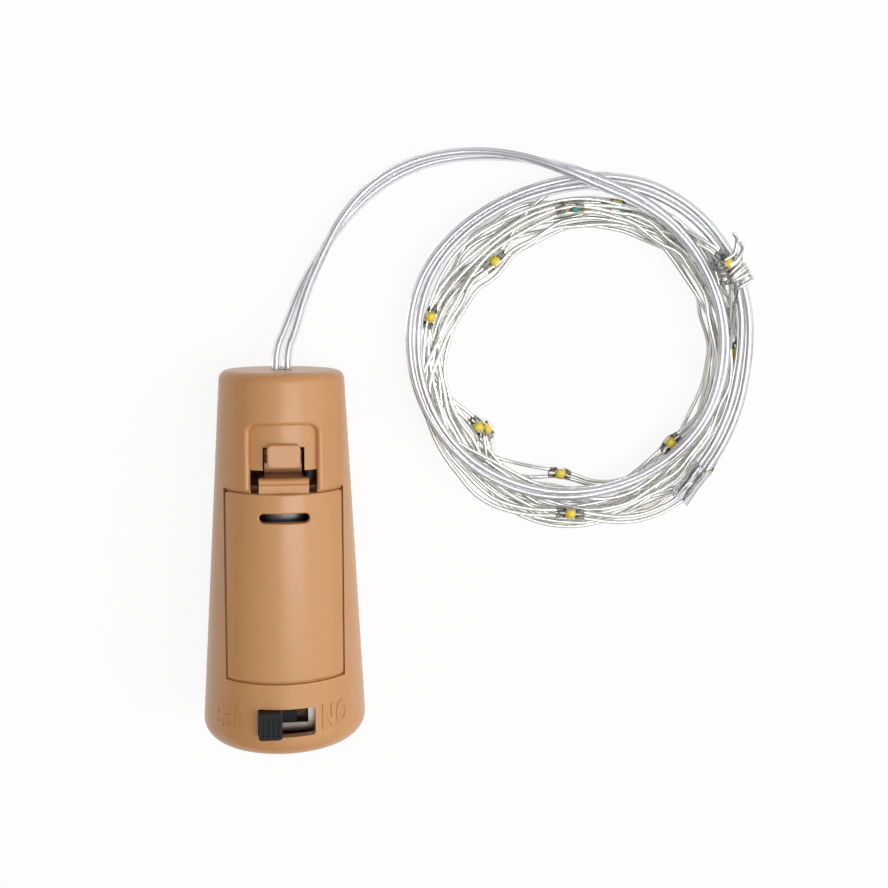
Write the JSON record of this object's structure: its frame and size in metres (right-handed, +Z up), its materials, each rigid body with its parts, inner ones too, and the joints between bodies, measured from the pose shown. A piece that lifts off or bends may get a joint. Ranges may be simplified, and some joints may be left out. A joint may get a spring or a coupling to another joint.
{
  "type": "cork bottle light",
  "caption": "Cork-shaped battery stopper for a bottle neck, with a slide switch, a hinged battery door and two leads to a coiled wire string of tiny lights.",
  "frame": {"origin": "on the surface that the stopper lies on, under the middle of the stopper's bounding box, without the leads and the coil of lights", "axes": "+Z up, +Y along the surface towards the stopper's small end, +X towards the coil of lights"},
  "size_m": [0.0739, 0.0758, 0.0216],
  "materials": {
    "shell_plastic": "moulded tan plastic with a satin sheen",
    "black_plastic": "black moulded nylon, slightly shiny",
    "contact_brass": "stamped brass",
    "nickel_sheet": "nickel-plated steel sheet and wire",
    "phenolic_board": "brown phenolic paper board",
    "board_laminate": "bare circuit laminate",
    "ceramic_chip": "black chip with tinned ends",
    "cell_steel": "drawn nickel-plated steel",
    "nylon_gasket": "dark nylon",
    "clear_insulation": "clear insulation over a tinned core",
    "set_glue": "cloudy set glue",
    "clear_sleeve": "clear flattened sleeve",
    "solder": "dull solder",
    "silver_wire": "silver lacquered copper wire",
    "yellow_phosphor": "yellow phosphor over a light chip",
    "clear_resin": "clear resin drop"
  },
  "bodies": {
    "housing": {"cell_can_1": "cell_steel", "cell_can_2": "cell_steel", "cell_can_3": "cell_steel", "cell_cap_1": "cell_steel", "cell_cap_2": "cell_steel", "cell_cap_3": "cell_steel", "cell_gasket_1": "nylon_gasket", "cell_gasket_2": "nylon_gasket", "cell_gasket_3": "nylon_gasket", "circuit_board": "board_laminate", "front_shell": "shell_plastic", "inner_lead_a": "clear_insulation", "inner_lead_b": "clear_insulation", "lead_plug": "set_glue", "lead_wire_a": "clear_insulation", "lead_wire_b": "clear_insulation", "led_beads": "clear_resin", "led_chips": "yellow_phosphor", "negative_spring": "nickel_sheet", "positive_plate": "nickel_sheet", "rear_shell": "shell_plastic", "resistor": "ceramic_chip", "splice_joints": "solder", "splice_sleeve": "clear_sleeve", "spring_plate": "nickel_sheet", "string_wire_a": "silver_wire", "string_wire_b": "silver_wire", "switch_base": "phenolic_board", "switch_frame": "nickel_sheet", "switch_terminals": "contact_brass"},
    "battery_door": {"battery_door": "shell_plastic"},
    "door_latch": {"door_latch": "shell_plastic"},
    "switch_slider": {"switch_knob": "black_plastic", "switch_contact": "contact_brass"}
  },
  "joints": [
    {"name": "door_hinge", "type": "hinge", "parent": "housing", "child": "battery_door", "pos_m": [0, -0.01337, 0.01986], "axis": [1, 0, 0], "range_deg": [0, 58]},
    {"name": "latch_flex", "type": "hinge", "parent": "battery_door", "child": "door_latch", "pos_m": [0, 0.01283, 0.01131], "axis": [1, 0, 0], "range_deg": [0, 10], "stiffness_Nm_per_rad": 0.02},
    {"name": "switch_slide", "type": "slide", "parent": "housing", "child": "switch_slider", "axis": [1, 0, 0], "range_m": [0, 0.0034]}
  ]
}
